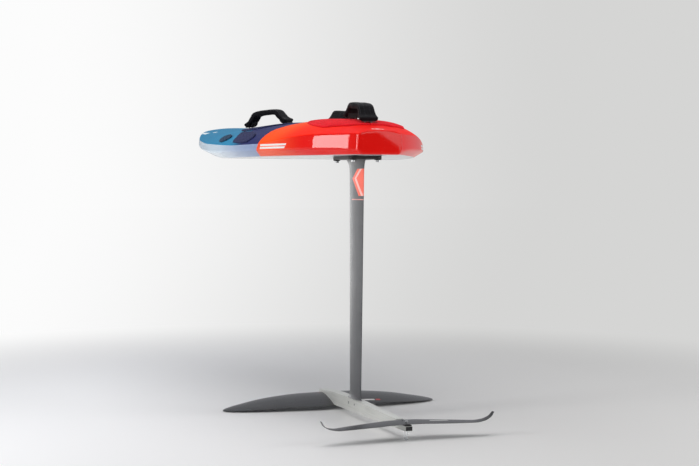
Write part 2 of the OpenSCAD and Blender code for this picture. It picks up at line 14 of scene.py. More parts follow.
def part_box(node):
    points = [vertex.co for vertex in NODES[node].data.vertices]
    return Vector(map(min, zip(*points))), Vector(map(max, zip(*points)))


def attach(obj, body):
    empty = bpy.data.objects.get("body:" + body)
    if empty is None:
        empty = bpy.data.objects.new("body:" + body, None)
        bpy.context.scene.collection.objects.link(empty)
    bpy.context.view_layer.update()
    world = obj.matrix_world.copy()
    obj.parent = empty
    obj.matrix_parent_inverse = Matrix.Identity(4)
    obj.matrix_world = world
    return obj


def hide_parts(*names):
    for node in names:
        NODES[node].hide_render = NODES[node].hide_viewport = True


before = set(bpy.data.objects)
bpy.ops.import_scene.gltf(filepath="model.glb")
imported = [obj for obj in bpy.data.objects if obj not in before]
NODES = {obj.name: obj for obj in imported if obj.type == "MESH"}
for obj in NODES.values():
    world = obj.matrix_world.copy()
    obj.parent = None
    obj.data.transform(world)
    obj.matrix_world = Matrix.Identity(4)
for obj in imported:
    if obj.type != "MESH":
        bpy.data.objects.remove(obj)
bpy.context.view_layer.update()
low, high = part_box("mast_plate")
MAST_X = (low.x + high.x) / 2
MM = 0.001


def put(points):
    """Design millimetres to frame metres."""
    p = np.asarray(points, float) * MM
    p[..., 0] += MAST_X
    return p


# ---- Design curves -------------------------------------------------------------------
def curve(t, table):
    """Smooth curve through the table's rows; it doesn't overshoot them."""
    T = np.array(table, float)
    t = np.asarray(t, float)
    n = len(T)
    rise = np.diff(T[:, 1]) / np.diff(T[:, 0])
    m = np.zeros(n)
    m[0], m[-1] = rise[0], rise[-1]
    for i in range(1, n - 1):
        a, b = rise[i - 1], rise[i]
        m[i] = 0 if a * b <= 0 else 2 * a * b / (a + b)
    i = np.clip(np.searchsorted(T[:, 0], t, side="right") - 1, 0, n - 2)
    h = T[i + 1, 0] - T[i, 0]
    u = np.clip((t - T[i, 0]) / h, 0, 1)
    return (T[i, 1] * (1 + 2 * u) * (1 - u) ** 2 + T[i + 1, 1] * u * u * (3 - 2 * u)
            + m[i] * h * u * (1 - u) ** 2 - m[i + 1] * h * u * u * (1 - u))


NOSE_X, TRANSOM_X, HALF_W, TRANSOM_HALF_W, BOTTOM_H = 1600, -220, 362, 75, 905
WIDE_X, NOSE_FROM = 400, 500
BEVEL_WT = [[-220, 10], [-110, 32], [20, 40], [500, 40], [800, 62], [1100, 84], [1630, 90]]
BOTTOM_T = [[-220, 0], [400, 0], [700, 7], [930, 17], [1300, 45], [1630, 85]]
BEVEL_T = [[-220, 14], [-110, 21], [20, 22], [600, 25], [850, 42], [1100, 66], [1300, 84],
           [1630, 118]]
EDGE_T = [[-220, 70], [-60, 69], [20, 61], [100, 50], [150, 45], [300, 45], [420, 49],
          [600, 58], [770, 67], [920, 80], [1100, 95], [1300, 125], [1450, 145], [1630, 161]]
CROWN_T = [[-220, 80], [-100, 107], [0, 121], [150, 129], [300, 129], [600, 129],
           [1000, 139], [1300, 153], [1630, 168]]
DOME_T = [[-220, 2.6], [0, 3.2], [300, 3.0], [1630, 2.6]]
NOSE_POWER = 1.75                 # roundness of the nose in plan


def plan(s):
    """Half the board's width at its widest edge."""
    s = np.asarray(s, float)
    tail = TRANSOM_HALF_W + (HALF_W - TRANSOM_HALF_W) * np.sin(
        np.radians(90 * np.clip((s - TRANSOM_X) / (WIDE_X - TRANSOM_X), 0, 1))) ** 0.9
    nose = HALF_W * np.sqrt(np.maximum(
        0, 1 - np.clip((s - NOSE_FROM) / (NOSE_X - NOSE_FROM), 0, 1) ** NOSE_POWER))
    return np.where(s < WIDE_X, tail, np.where(s < NOSE_FROM, HALF_W, nose))


def edge_w(s):
    """Half the deck's width."""
    return plan(s) - np.minimum(3, 0.1 * plan(s))


def flat_w(s):
    """Half the flat bottom's width."""
    return plan(s) - np.minimum(curve(s, BEVEL_WT), 0.45 * plan(s))


def deck_z(s, y):
    """Height of the deck."""
    e, c = BOTTOM_H + curve(s, EDGE_T), BOTTOM_H + curve(s, CROWN_T)
    return e + (c - e) * (1 - np.minimum(1, np.abs(y) / edge_w(s)) ** curve(s, DOME_T))


# ---- Mesh helpers --------------------------------------------------------------------
def piece(name, verts, faces, body, smooth=True, replaces=()):
    mesh = bpy.data.meshes.new(name)
    mesh.from_pydata([tuple(v) for v in verts], [], faces)
    mesh.validate()
    o = bpy.data.objects.new(name, mesh)
    bpy.context.scene.collection.objects.link(o)
    bm = bmesh.new()
    bm.from_mesh(mesh)
    bmesh.ops.remove_doubles(bm, verts=bm.verts, dist=1e-6)
    bmesh.ops.recalc_face_normals(bm, faces=bm.faces)
    bm.to_mesh(mesh)
    bm.free()
    mesh.polygons.foreach_set("use_smooth", [smooth] * len(mesh.polygons))
    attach(o, body)
    if replaces:
        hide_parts(*replaces)
    return o


def tube(rings, closed=True):
    """Verts and faces of a skin over equal rings, closed at both ends."""
    n, m = len(rings[0]), len(rings)
    verts = [p for r in rings for p in r]
    faces = []
    for k in range(m - 1):
        for i in range(n if closed else n - 1):
            j = (i + 1) % n
            faces.append((k * n + i, k * n + j, (k + 1) * n + j, (k + 1) * n + i))
    faces.append(tuple(range(n)))
    faces.append(tuple((m - 1) * n + i for i in range(n)))
    return verts, faces


def modifier(o, kind, **values):
    m = o.modifiers.new(kind.lower(), kind)
    for k, v in values.items():
        setattr(m, k, v)
    return m


def apply_all(o):
    dg = bpy.context.evaluated_depsgraph_get()
    mesh = bpy.data.meshes.new_from_object(o.evaluated_get(dg))
    o.modifiers.clear()
    o.data = mesh


def cut(o, cutters):
    for c in cutters:
        modifier(o, "BOOLEAN", operation="DIFFERENCE", solver="EXACT", object=c)
    bpy.context.view_layer.update()
    apply_all(o)


def sharp(o, degrees):
    bm = bmesh.new()
    bm.from_mesh(o.data)
    limit = math.radians(degrees)
    for e in bm.edges:
        e.smooth = not (len(e.link_faces) == 2 and e.calc_face_angle(0) > limit)
    bm.to_mesh(o.data)
    bm.free()


# ---- Material helpers ----------------------------------------------------------------
class Mat:
    """A node material: m.math(...), m.noise(...) and the rest return sockets."""

    def __init__(self, name):
        self.mat = bpy.data.materials.new(name)
        self.mat.use_nodes = True
        self.nt = self.mat.node_tree
        self.bsdf = self.nt.nodes["Principled BSDF"]
        self.out = self.nt.nodes["Material Output"]
        self.obj = self.node("ShaderNodeTexCoord").outputs["Object"]

    def node(self, kind, **values):
        n = self.nt.nodes.new(kind)
        for k, v in values.items():
            setattr(n, k, v)
        return n

    def link(self, value, socket):
        if isinstance(value, bpy.types.NodeSocket):
            self.nt.links.new(value, socket)
        elif hasattr(socket.default_value, "__len__") and hasattr(value, "__len__"):
            v = tuple(value)
            socket.default_value = v + (1,) if len(v) < len(socket.default_value) else v
        else:
            socket.default_value = value

    def math(self, op, *args):
        n = self.node("ShaderNodeMath", operation=op)
        for i, a in enumerate(args):
            self.link(a, n.inputs[i])
        return n.outputs[0]

    def mix(self, fac, a, b):
        n = self.node("ShaderNodeMix", data_type="RGBA")
        self.link(fac, n.inputs[0])
        self.link(a, n.inputs[6])
        self.link(b, n.inputs[7])
        return n.outputs[2]

    def mix_value(self, fac, a, b):
        return self.math("ADD", a, self.math("MULTIPLY", fac, b - a))

    def ramp(self, value, low, high):
        """0 at low, 1 at high, eased at both."""
        n = self.node("ShaderNodeMapRange", interpolation_type="SMOOTHSTEP")
        for i, v in enumerate((value, low, high, 0.0, 1.0)):
            self.link(v, n.inputs[i])
        return n.outputs[0]

    def between(self, value, low, high, soft):
        """1 between low and high, with edges as wide as soft on the inside."""
        return self.math("MULTIPLY", self.ramp(value, low, low + soft),
                         self.ramp(value, high, high - soft))

    def scaled(self, scale):
        n = self.node("ShaderNodeMapping")
        self.link(self.obj, n.inputs["Vector"])
        n.inputs["Scale"].default_value = scale
        return n.outputs[0]

    def noise(self, scale, detail=3.0, rough=0.5, vector=None):
        n = self.node("ShaderNodeTexNoise")
        self.link(vector or self.obj, n.inputs["Vector"])
        n.inputs["Scale"].default_value = scale
        n.inputs["Detail"].default_value = detail
        n.inputs["Roughness"].default_value = rough
        return n.outputs[0]

    def voronoi(self, scale):
        n = self.node("ShaderNodeTexVoronoi")
        self.link(self.obj, n.inputs["Vector"])
        n.inputs["Scale"].default_value = scale
        return n.outputs["Distance"]

    def wave(self, scale, axis):
        n = self.node("ShaderNodeTexWave", bands_direction=axis)
        self.link(self.obj, n.inputs["Vector"])
        n.inputs["Scale"].default_value = scale
        return n.outputs[1]

    def xyz(self):
        n = self.node("ShaderNodeSeparateXYZ")
        self.link(self.obj, n.inputs[0])
        return n.outputs[0], n.outputs[1], n.outputs[2]

    def bump(self, height, distance, strength=1.0):
        n = self.node("ShaderNodeBump")
        self.link(height, n.inputs["Height"])
        n.inputs["Distance"].default_value = distance
        n.inputs["Strength"].default_value = strength
        self.link(n.outputs[0], self.bsdf.inputs["Normal"])

    def set(self, **values):
        names = {"color": "Base Color", "rough": "Roughness", "metal": "Metallic",
                 "coat": "Coat Weight", "coat_rough": "Coat Roughness", "ior": "IOR",
                 "spec": "Specular IOR Level", "sheen": "Sheen Weight",
                 "sheen_rough": "Sheen Roughness", "through": "Transmission Weight"}
        for k, v in values.items():
            self.link(v, self.bsdf.inputs[names[k]])

    def base(self):
        """The socket that gives the surface its colour so far."""
        return self.bsdf.inputs["Base Color"].links[0].from_socket


def rgb(r, g, b):
    """sRGB 0-255 to linear."""
    return tuple((c / 255 / 12.92) if c <= 10 else ((c / 255 + 0.055) / 1.055) ** 2.4
                 for c in (r, g, b))


def assign(o, mat):
    o.data.materials.clear()
    o.data.materials.append(mat.mat)


def speckled(name, dark, light, scale, rough, bump_mm, metal=0.0, brushed=None, **more):
    """A base of two near colours, with roughness and bump from the same grain."""
    m = Mat(name)
    vector = m.scaled(brushed) if brushed else None
    grain = m.noise(scale, 4, 0.6, vector)
    broad = m.noise(9, 2)
    blend = m.ramp(m.math("ADD", m.math("MULTIPLY", grain, 0.7),
                          m.math("MULTIPLY", broad, 0.3)), 0.3, 0.7)
    m.set(color=m.mix(blend, dark, light), metal=metal,
          rough=m.math("ADD", rough, m.math("MULTIPLY", m.math("SUBTRACT", grain, 0.5), 0.18)),
          **more)
    m.bump(grain, bump_mm * MM)
    return m


# ---- Paint ---------------------------------------------------------------------------
def paint(name, bottom=False):
    """Blues ahead and oranges to red behind, on the deck and the walls, and a white bottom."""
    m = Mat(name)
    x, y, z = m.xyz()
    x = m.math("SUBTRACT", x, MAST_X)
    ay = m.math("ABSOLUTE", y)
    # where the blues stop and the oranges start, curving in towards the centreline
    outer = m.math("MAXIMUM", m.math("SUBTRACT", ay, 0.235), 0.0)
    inner = m.math("MAXIMUM", m.math("SUBTRACT", 0.235, ay), 0.0)
    line = m.math("SUBTRACT", 0.19, m.math("MULTIPLY", m.math("MULTIPLY", outer, outer), 6.2))
    line = m.math("SUBTRACT", line, m.math("MULTIPLY", 0.15, m.math(
        "TANH", m.math("MULTIPLY", inner, 3.0))))
    drop = m.math("MAXIMUM", m.math("SUBTRACT", 0.95, z), 0.0)
    line = m.math("ADD", line, m.math("MULTIPLY", drop, 0.5))
    ahead = m.math("SUBTRACT", x, line)
    warm = m.ramp(ahead, 0.0015, -0.0015)
    speck = m.noise(260, 3, 0.6)
    cloud = m.noise(3.5, 3, 0.5)
    # deck: sky blue nose, navy band, then orange deepening to red at the tail
    sky = m.mix(cloud, rgb(24, 118, 160), rgb(34, 132, 174))
    navy = m.mix(m.math("MULTIPLY", speck, 0.5), rgb(36, 40, 88), rgb(48, 58, 112))
    run = m.math("ADD", m.math("SUBTRACT", x, 0.29),
                 m.math("MULTIPLY", m.math("SUBTRACT", 0.345, ay), -1.9))
    blue = m.mix(m.ramp(run, -0.05, 0.09), navy, sky)
    orange = m.mix(m.ramp(x, 0.12, -0.02), rgb(253, 78, 10), rgb(250, 36, 8))
    deck_red = m.mix(m.ramp(x, -0.02, -0.16), orange, rgb(244, 16, 6))
    deck = m.mix(warm, blue, deck_red)
    # walls and bevels: ice blue ahead, salmon orange to deep red behind
    ice = m.mix(m.ramp(x, 0.62, 0.14), rgb(200, 217, 231), rgb(140, 156, 190))
    hot = m.mix(m.ramp(x, 0.12, -0.05), rgb(252, 92, 52), rgb(236, 10, 2))
    wall = m.mix(warm, ice, hot)
    geometry = m.node("ShaderNodeNewGeometry")
    normal = m.node("ShaderNodeSeparateXYZ")
    m.link(geometry.outputs["True Normal" if bottom else "Normal"], normal.inputs[0])
    up = normal.outputs[2]
    if bottom:
        white = m.mix(speck, rgb(214, 216, 220), rgb(228, 230, 233))
        color = m.mix(m.ramp(up, -0.9, -0.97), wall, white)
    else:
        color = m.mix(m.ramp(up, 0.42, 0.52), wall, deck)
    # plain white stripes on the quarter, and a plain oval ring above the transom
    span = m.math("MULTIPLY", m.ramp(m.math("ADD", x, m.math("MULTIPLY", z, 0.5)),
                                     0.496, 0.4965), m.ramp(x, 0.142, 0.1415))
    rows = m.between(z, 0.931, 0.9475, 0.0002)
    gap = m.math("ABSOLUTE", m.math("SUBTRACT", z, 0.9393))
    rows = m.math("MULTIPLY", rows, m.ramp(gap, 0.0014, 0.0016))
    side = m.ramp(ay, 0.18, 0.181)
    stripes = m.math("MULTIPLY", m.math("MULTIPLY", span, rows), side)
    color = m.mix(stripes, color, rgb(240, 238, 236))
    if not bottom:
        ry = m.math("DIVIDE", y, 0.022)
        rz = m.math("DIVIDE", m.math("ADD", x, 0.197), 0.0105)
        r = m.math("SQRT", m.math("ADD", m.math("MULTIPLY", ry, ry),
                                  m.math("MULTIPLY", rz, rz)))
        ring = m.math("MULTIPLY", m.ramp(r, 1.02, 0.98), m.ramp(r, 0.74, 0.80))
        dot = m.math("MULTIPLY", m.ramp(m.math("ABSOLUTE", ry), 0.34, 0.30),
                     m.ramp(r, 0.52, 0.48))
        color = m.mix(m.math("MAXIMUM", ring, dot), color, rgb(236, 190, 188))
        for cx, cy, lx, ly in ((1.26, 0.227, 0.05, 0.010), (1.17, 0.205, 0.018, 0.008)):
            box = m.math("MAXIMUM",
                         m.math("DIVIDE", m.math("ABSOLUTE", m.math("SUBTRACT", x, cx)), lx),
                         m.math("DIVIDE", m.math("ABSOLUTE", m.math("SUBTRACT", ay, cy)), ly))
            color = m.mix(m.ramp(box, 1.02, 0.98), color, rgb(226, 236, 242))
    # faint scuffs along the rails
    scuff = m.math("MULTIPLY", m.ramp(m.noise(60, 5, 0.7, m.scaled((1, 1, 6))), 0.62, 0.72),
                   0.08)
    color = m.mix(scuff, color, rgb(235, 228, 224))
    gloss = 1.0 if bottom else m.ramp(up, 0.55, 0.4)
    m.set(color=color, rough=m.math("ADD", 0.40, m.math("MULTIPLY", speck, 0.1)),
          coat=m.math("MULTIPLY", gloss, 0.62), coat_rough=0.03, spec=0.06)
    m.bump(m.noise(35, 2), 0.00025, 0.35)
    return m


PAINT_DECK = paint("deck_paint")
PAINT_BOTTOM = paint("bottom_paint", bottom=True)


# ---- Hull ----------------------------------------------------------------------------
def bend(a, corner, b, n):
    t = np.linspace(0, 1, n)[:, None]
    return (1 - t) ** 2 * a + 2 * t * (1 - t) * corner + t * t * b


def half_profile(s):
    """(y, z) from the deck's centre to the bottom's centre, with rounded corners."""
    E = np.array([edge_w(s), BOTTOM_H + curve(s, EDGE_T)])
    P = np.array([plan(s), BOTTOM_H + curve(s, BEVEL_T)])
    B = np.array([flat_w(s), BOTTOM_H + curve(s, BOTTOM_T)])
    wall, bevel = np.linalg.norm(P - E), np.linalg.norm(B - P)
    de = min(curve(s, [[-220, 4.5], [200, 6], [700, 8], [1600, 8]]), 0.3 * wall, 0.3 * E[0])
    dp = min(curve(s, [[-220, 5], [300, 7], [900, 14], [1600, 16]]), 0.3 * wall, 0.35 * bevel)
    db = min(curve(s, [[-220, 6], [300, 9], [1600, 16]]), 0.35 * bevel, 0.35 * B[0])
    f = np.sin(np.linspace(0, math.pi / 2, 26)) * (1 - de / E[0])
    deck = np.stack([f * E[0], deck_z(s, f * E[0])], 1)
    down, out = (P - E) / wall, (B - P) / bevel
    rows = [deck, bend(deck[-1], E, E + down * de, 7)[1:]]
    rows.append(np.linspace(E + down * de, P - down * dp, 5)[1:])
    rows.append(bend(P - down * dp, P, P + out * dp, 7)[1:])
    rows.append(np.linspace(P + out * dp, B - out * db, 4)[1:])
    rows.append(bend(B - out * db, B, B - [db, 0], 6)[1:])
    rows.append(np.stack([np.linspace(B[0] - db, 0, 8)[1:], np.full(7, B[1])], 1))
    return np.concatenate(rows)


SPLIT = 26 + 6                    # the deck piece ends here on each side's profile
TRANSOM_R = 3.5                   # rounding of the transom's edges
SKIN_T = 1.8
tail_s = [TRANSOM_X + TRANSOM_R, -212, -200] + list(np.linspace(-185, 500, 62))
nose_g = np.cos(np.linspace(0.22, math.pi / 2 - 0.0125, 56))
nose_s = [NOSE_FROM + (NOSE_X - NOSE_FROM) * (1 - g * g) ** (1 / NOSE_POWER) for g in nose_g]
nose_s = [s for s in nose_s if s > 515]
nose_s[-1] = NOSE_X - 0.1


def shrink(profile, amount):
    """The half profile, drawn in by amount all round."""
    mid = (profile[0, 1] + profile[-1, 1]) / 2
    height = profile[0, 1] - profile[-1, 1]
    out = profile.copy()
    out[:, 0] *= 1 - amount / max(profile[:, 0].max(), 1)
    out[:, 1] = mid + (out[:, 1] - mid) * (1 - 2 * amount / height)
    return out


ring_list = []                    # (s, half profile)
ring_list.append((TRANSOM_X, shrink(half_profile(TRANSOM_X), 8)))
for angle in np.radians((90, 72, 54, 36, 18)):
    ring_list.append((TRANSOM_X + TRANSOM_R * (1 - math.sin(angle)),
                      shrink(half_profile(TRANSOM_X + TRANSOM_R),
                             TRANSOM_R * (1 - math.cos(angle)))))
for s in tail_s + nose_s:
    ring_list.append((s, half_profile(s)))


def sheet_piece(name, take, mat, replaces):
    """Skin over the part of each ring that take() gives, thickened inwards."""
    rings = []
    for s, prof in ring_list:
        part = take(prof)
        left = [(s, p[0], p[1]) for p in part]
        right = [(s, -p[0], p[1]) for p in part]
        if abs(part[0][0]) < 1e-9:          # starts on the centreline
            ring = left[::-1] + right[1:]
        else:                               # ends on the centreline
            ring = left + right[::-1][1:]
        rings.append(put(ring))
    verts, faces = tube(rings, closed=False)
    o = piece(name, verts, faces, "board", replaces=replaces)
    centre = Vector((MAST_X + 0.3, 0, 0.97))
    score = sum((p.center - centre).dot(p.normal) * p.area for p in o.data.polygons)
    if score < 0:
        o.data.flip_normals()
    modifier(o, "SOLIDIFY", thickness=SKIN_T * MM, offset=-1, use_rim=True)
    bpy.context.view_layer.update()
    apply_all(o)
    assign(o, mat)
    return o


hull_deck = sheet_piece("hull_deck", lambda p: p[:SPLIT + 1], PAINT_DECK,
                        ("deck_shell",))
hull_bottom = sheet_piece("hull_bottom", lambda p: p[SPLIT:], PAINT_BOTTOM,
                          ("bottom_shell", "transom_block", "nose_block"))


def loose_mesh(name, bm):
    mesh = bpy.data.meshes.new(name)
    bm.to_mesh(mesh)
    bm.free()
    o = bpy.data.objects.new(name, mesh)
    bpy.context.scene.collection.objects.link(o)
    return o


def box_cutter(low_corner, high_corner):
    bm = bmesh.new()
    bmesh.ops.create_cube(bm, size=1)
    lo, hi = Vector(low_corner), Vector(high_corner)
    bmesh.ops.transform(bm, matrix=Matrix.Translation((lo + hi) / 2)
                        @ Matrix.Diagonal((*(hi - lo), 1)), verts=bm.verts)
    return loose_mesh("cutter", bm)


def disc_cutter(centre, radius, depth):
    bm = bmesh.new()
    bmesh.ops.create_cone(bm, cap_ends=True, segments=48, radius1=radius, radius2=radius,
                          depth=depth, matrix=Matrix.Translation(centre))
    return loose_mesh("cutter", bm)


def drop(cutters):
    for c in cutters:
        bpy.data.objects.remove(c)


VENT_HOLE_R = 13.1 * MM
TRACK_HALF_L, TRACK_Y, TRACK_HALF_W = 138, 45, 11
lo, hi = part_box("rig_track")
vent_lo, vent_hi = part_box("vent_plug")
vent = (vent_lo + vent_hi) / 2
cutters = [box_cutter(lo, hi + Vector((0, 0, 0.02))),
           disc_cutter((vent.x, vent.y, vent_hi.z), VENT_HOLE_R, 0.03)]
cut(hull_deck, cutters)
drop(cutters)
cutters = [box_cutter(put((-TRACK_HALF_L, side * TRACK_Y - TRACK_HALF_W, BOTTOM_H - 5)),
                      put((TRACK_HALF_L, side * TRACK_Y + TRACK_HALF_W, BOTTOM_H + 7)))
           for side in (-1, 1)]
cut(hull_bottom, cutters)
drop(cutters)
for o in (hull_deck, hull_bottom):
    sharp(o, 40)


# ---- Pads ----------------------------------------------------------------------------
PAD_T, PAD_LIFT = 5, 1
PAD_ROUND = 4                     # how far in from its edge a pad is rounded


def pad_sheet(name, low_t, high_t, s0, s1, cell, every, depth, mat, replaces):
    """EVA pads to port and starboard on the deck, with rounded edges and sunk channels."""
    ns = max(8, int(round((s1 - s0) / cell / every[0])) * every[0])
    groove = (0, 1) if depth > 2 else (0,)    # deep channels are two cells wide
    widest = max(abs(b[1] - curve(b[0], low_t)) for b in high_t)
    ny = max(6, int(round(widest / cell / every[1])) * every[1])
    S = np.linspace(s0, s1, ns + 1)
    verts, faces = [], []
    for flip in (1, -1):
        base = len(verts)
        for level in (0, 1):
            for i, s in enumerate(S):
                a, b = curve(s, low_t), curve(s, high_t)
                for j in range(ny + 1):
                    y = a + (b - a) * j / ny
                    d = min(s - s0, s1 - s, y - a, b - y)
                    edge = math.sqrt(max(0, 1 - (1 - min(1, d / PAD_ROUND)) ** 2))
                    h = 1.0 + (PAD_T - 1.0) * edge
                    if level and d > PAD_ROUND and (i % every[0] == 0 or j % every[1] in groove):
                        h -= depth
                    z = float(deck_z(s, y)) + PAD_LIFT + (h if level else 0)
                    verts.append((s, flip * y, z))
        n = (ns + 1) * (ny + 1)

        def at(i, j, level):
            return base + level * n + i * (ny + 1) + j
        for i in range(ns):
            for j in range(ny):
                faces.append((at(i, j, 1), at(i + 1, j, 1), at(i + 1, j + 1, 1), at(i, j + 1, 1)))
                faces.append((at(i, j, 0), at(i, j + 1, 0), at(i + 1, j + 1, 0), at(i + 1, j, 0)))
        for i in range(ns):
            for j in (0, ny):
                faces.append((at(i, j, 0), at(i + 1, j, 0), at(i + 1, j, 1), at(i, j, 1)))
        for j in range(ny):
            for i in (0, ns):
                faces.append((at(i, j, 0), at(i, j + 1, 0), at(i, j + 1, 1), at(i, j, 1)))
    o = piece(name, put(verts), faces, "board", replaces=replaces)
    sharp(o, 55)
    assign(o, mat)
    return o


def eva(name, dark, light, pitch):
    """Foam with a diamond tread and open pores."""
    m = Mat(name)
    x, y, _ = m.xyz()
    a = m.math("ADD", x, m.math("MULTIPLY", y, 0.6))
    b = m.math("SUBTRACT", x, m.math("MULTIPLY", y, 0.6))
    cells = [m.math("ABSOLUTE", m.math("SUBTRACT", m.math(
        "FRACT", m.math("DIVIDE", c, pitch)), 0.5)) for c in (a, b)]
    tread = m.math("MINIMUM", cells[0], cells[1])
    pore = m.noise(900, 2, 0.7)
    height = m.math("ADD", m.ramp(tread, 0.03, 0.12), m.math("MULTIPLY", pore, 0.35))
    broad = m.noise(14, 3)
    # the foam is darker along the tread's sunk lines: painted shade in the grooves, with broad
    # random tone on top
    shade = m.math("ADD", m.math("MULTIPLY", m.ramp(tread, 0.02, 0.14), 0.6),
                   m.math("MULTIPLY", broad, 0.4))
    m.set(color=m.mix(shade, dark, light),
          rough=m.math("ADD", 0.62, m.math("MULTIPLY", pore, 0.25)),
          sheen=0.04, sheen_rough=0.5, spec=0.15)
    m.bump(height, 0.0006)
    return m


EVA_REAR = eva("crimson_eva", rgb(208, 6, 22), rgb(250, 18, 40), 0.006)
EVA_NAVY = eva("navy_eva", rgb(22, 26, 56), rgb(40, 46, 92), 0.007)
EVA_DARK = eva("slate_eva", rgb(18, 40, 62), rgb(34, 68, 98), 0.007)

REAR_T = [[-128, 78], [-100, 112], [-65, 149], [5, 163], [60, 160], [92, 140]]
pad_sheet("rear_pad_ribbed", [[-128, 1], [92, 1]], REAR_T, -128, 92, 2.6, (12, 5),
          2.8, EVA_REAR, ("rear_pad",))
pad_sheet("front_pads_ribbed", [[400, 30], [735, 30]],
          [[400, 150], [440, 215], [560, 238], [680, 226], [735, 170]], 400, 735, 4, (4, 4),
          1.0, EVA_NAVY, ("front_pads",))
pad_sheet("heel_pads_ribbed",
          [[234, 304], [265, 287], [322, 278], [400, 272], [486, 264]],
          [[234, 328], [265, 338], [312, 344], [362, 345], [400, 325], [486, 284]],
          234, 486, 3, (4, 5), 1.0, EVA_NAVY, ("heel_pads",))
pad_sheet("nose_pads_ribbed",
          [[496, 319], [520, 306], [562, 294], [605, 288], [637, 290]],
          [[496, 337], [520, 345], [572, 341], [602, 332], [637, 308]],
          496, 637, 3, (4, 5), 1.0, EVA_DARK, ("nose_pads",))


# ---- Straps --------------------------------------------------------------------------
def smooth_path(points, n):
    P = np.array(points, float)
    out = []
    for i in range(len(P) - 1):
        a, b, c, d = P[max(i - 1, 0)], P[i], P[i + 1], P[min(i + 2, len(P) - 1)]
        for k in range(n):
            t = k / n
            out.append(0.5 * (2 * b + (c - a) * t + (2 * a - 5 * b + 4 * c - d) * t * t
                              + (3 * b - a - 3 * c + d) * t ** 3))
    return np.array(out + [P[-1]])


def mirrored(P):
    return P + [[-q[0], q[1]] for q in P[-2::-1]]


def outward(Q):
    """Unit normals along a strap's path, pointing away from the deck."""
    d = np.gradient(Q, axis=0)
    d /= np.linalg.norm(d, axis=1)[:, None]
    return np.stack([-d[:, 1], d[:, 0]], 1)


STRAP_L, TABLE_L = 180, 196       # a strap's length, and the length its tables are drawn at
WEBBING_PATH = smooth_path(mirrored([[-98, 1.8], [-80, 1.9], [-68, 8], [-60, 25], [-50, 39],
                                     [-29, 44.5], [0, 45]]), 8)
COVER_PATH = smooth_path(mirrored([[-98, 12.5], [-85, 15], [-73, 20], [-61, 31], [-50, 43],
                                   [-29, 47.5], [0, 48]]), 8)
WEBBING_PATH[:, 0] *= STRAP_L / TABLE_L
COVER_PATH[:, 0] *= STRAP_L / TABLE_L


def strap_matrix(x, y, turn):
    """Stands a strap on the pads at (x, y), square to the deck there and turned about it."""
    sx = (deck_z(x + 10, y) - deck_z(x - 10, y)) / 20
    sy = (deck_z(x, y + 10) - deck_z(x, y - 10)) / 20
    foot = Vector(put((x, y, float(deck_z(x, y)) + PAD_T + PAD_LIFT)))
    return (Matrix.Translation(foot) @ Matrix.Rotation(-math.atan(sx), 4, "Y")
            @ Matrix.Rotation(math.atan(sy), 4, "X")
            @ Matrix.Rotation(math.radians(turn), 4, "Z") @ Matrix.Scale(MM, 4))


def spread_rings(Q, outline):
    """outline(i) gives (across, out) points round the band at path point i."""
    side = outward(Q)
    rings = []
    for i, q in enumerate(Q):
        ring = []
        for v, h in outline(i):
            p = q + side[i] * h
            ring.append((p[0], v, p[1]))
        rings.append(ring)
    return rings


def band_outline(half, low_h, high_h, n=36, flat=0.32, soft=0.7):
    """Rounded oblong: half wide each way across, low_h thick inwards and high_h outwards."""
    pts = []
    for k in range(n):
        a = 2 * math.pi * k / n
        c, s = math.cos(a), math.sin(a)
        v = half * math.copysign(abs(c) ** flat, c)
        h = math.copysign(abs(s) ** soft, s)
        pts.append((v, (high_h if h > 0 else low_h) * abs(h) * (1 if h > 0 else -1)))
    return pts


COVER_HALF_W, COVER_OUT, COVER_IN = 32.5, 11, 9
STITCH_ROWS, STITCH_PITCH, STITCH_L, STITCH_MARGIN = (-25.5, -10.5, 10.5, 25.5), 4.2, 2.7, 8


def taper(i):
    """The cover thins towards the strap's feet."""
    return min(1, 0.3 + 0.7 * (1 - abs(COVER_PATH[i][0]) / (STRAP_L / 2)) / 0.35)


def cover_outline(i):
    u = abs(COVER_PATH[i][0]) / (STRAP_L / 2)
    half = COVER_HALF_W - 3.5 * math.sin(math.pi * min(1, u / 0.95)) ** 2
    end = min(i, len(COVER_PATH) - 1 - i)
    tight = 0.55 + 0.45 * min(1, end / 3)
    wrinkle = 0.5 * math.sin(i * 1.9) if u > 0.4 else 0
    down = COVER_IN * taper(i)
    if u > 0.74:                        # the foot's flap reaches down over the screws
        down = max(down, (COVER_PATH[i][1] - 0.8) * min(1, (u - 0.74) / 0.08))
    return band_outline(half * (0.93 + 0.07 * min(1, end / 3)), down * tight,
                        (COVER_OUT * taper(i) + wrinkle) * tight)


def strap_padding(side_name, place):
    verts, faces = tube(spread_rings(COVER_PATH, cover_outline))
    cover = piece(side_name + "_strap_padding", [place @ Vector(p) for p in verts], faces, "board",
                  replaces=(side_name + "_strap_cover",))
    sharp(cover, 60)
    assign(cover, NEOPRENE)


def strap_band(side_name, place):
    rings = spread_rings(WEBBING_PATH, lambda i: band_outline(22, 1.2, 1.2, 20, 0.12, 0.4))
    verts, faces = tube(rings)
    web = piece(side_name + "_strap_band", [place @ Vector(p) for p in verts], faces, "board",
                replaces=(side_name + "_strap_webbing",))
    sharp(web, 50)
    assign(web, WEBBING)


